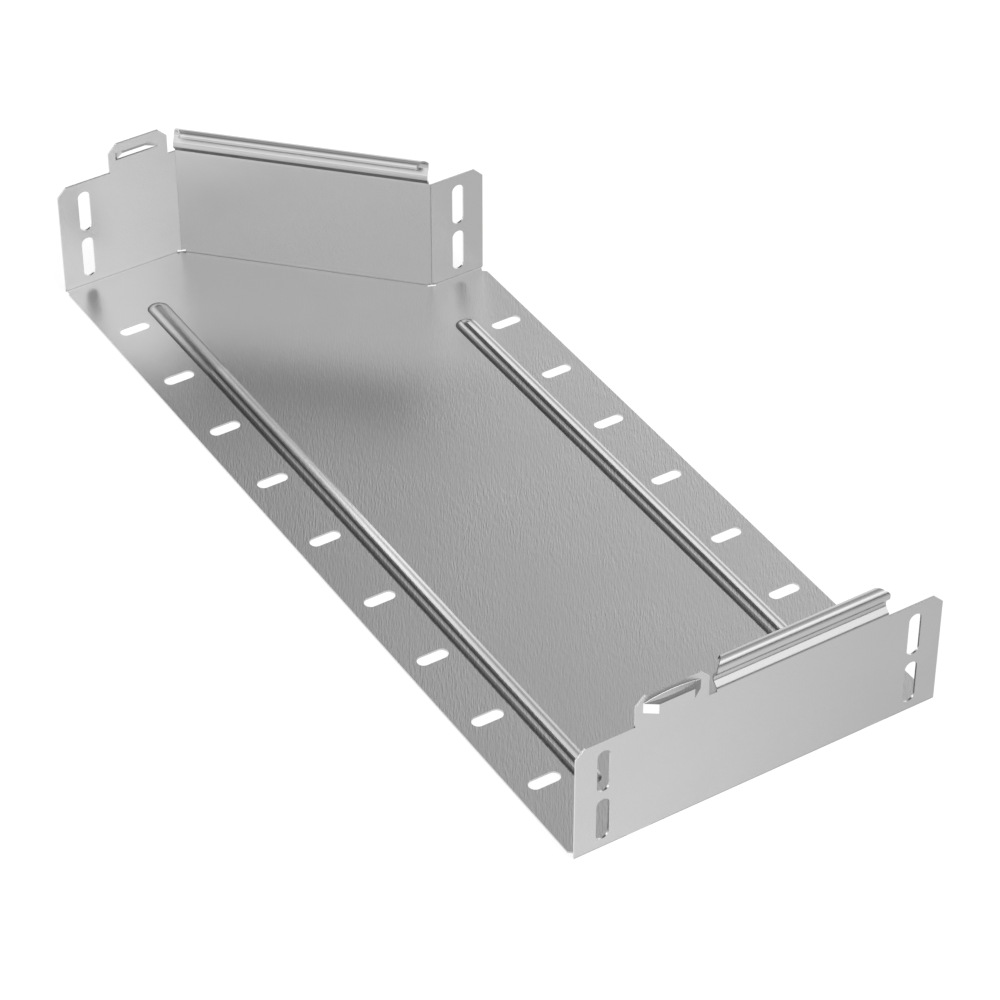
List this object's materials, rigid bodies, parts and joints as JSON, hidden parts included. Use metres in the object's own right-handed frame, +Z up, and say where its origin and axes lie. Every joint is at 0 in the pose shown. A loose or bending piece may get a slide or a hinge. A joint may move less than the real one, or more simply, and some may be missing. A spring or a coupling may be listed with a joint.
{
  "type": "cable tray reducer",
  "caption": "Folded sheet-steel cable tray reducer: flat slotted floor, one straight side wall and one stepped side wall, joining a wide tray to a narrower one.",
  "frame": {"origin": "underside of the floor, midway along the run and midway between the outer faces of the two walls at the wide end", "axes": "+X along the cable run from the wide end to the narrow end, +Y across the run from the straight wall to the stepped wall, +Z up"},
  "size_m": [0.203, 0.5154, 0.084],
  "materials": {
    "galvanised_steel": "satin galvanised sheet with a fine straight grain"
  },
  "bodies": {
    "root": {"reducer_body": "galvanised_steel"}
  },
  "joints": []
}
